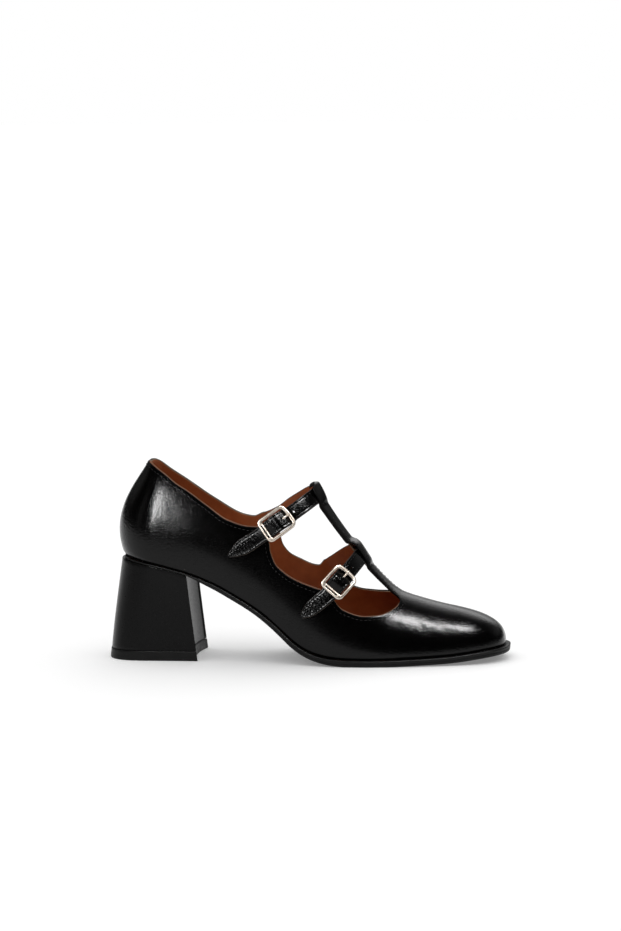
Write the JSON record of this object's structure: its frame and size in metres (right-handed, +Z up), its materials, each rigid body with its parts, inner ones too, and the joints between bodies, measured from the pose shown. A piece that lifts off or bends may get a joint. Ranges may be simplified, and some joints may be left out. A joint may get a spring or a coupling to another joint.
{
  "type": "buckle shoe",
  "caption": "Women's right shoe with a T-bar upper, buckled straps, side cut-outs, a squared toe and a flared block heel.",
  "frame": {"origin": "bottom centre of the whole shoe, on the floor", "axes": "+X towards the toe, +Y towards the inner (medial) side of the foot, +Z up"},
  "size_m": [0.2512, 0.0826, 0.1235],
  "materials": {
    "black_leather": "polished",
    "black_sole": "satin",
    "tan_leather": "matte",
    "pale_gold": "polished"
  },
  "bodies": {
    "root": {"outsole": "black_sole", "heel_top_lift": "black_sole", "heel_block": "black_leather", "insole": "tan_leather", "upper": "black_leather", "strap_instep": "black_leather", "strap_vamp": "black_leather", "buckle_tab_instep": "black_leather", "buckle_tab_vamp": "black_leather", "buckle_instep": "pale_gold", "buckle_vamp": "pale_gold", "prong_instep": "pale_gold", "prong_vamp": "pale_gold"}
  },
  "joints": []
}
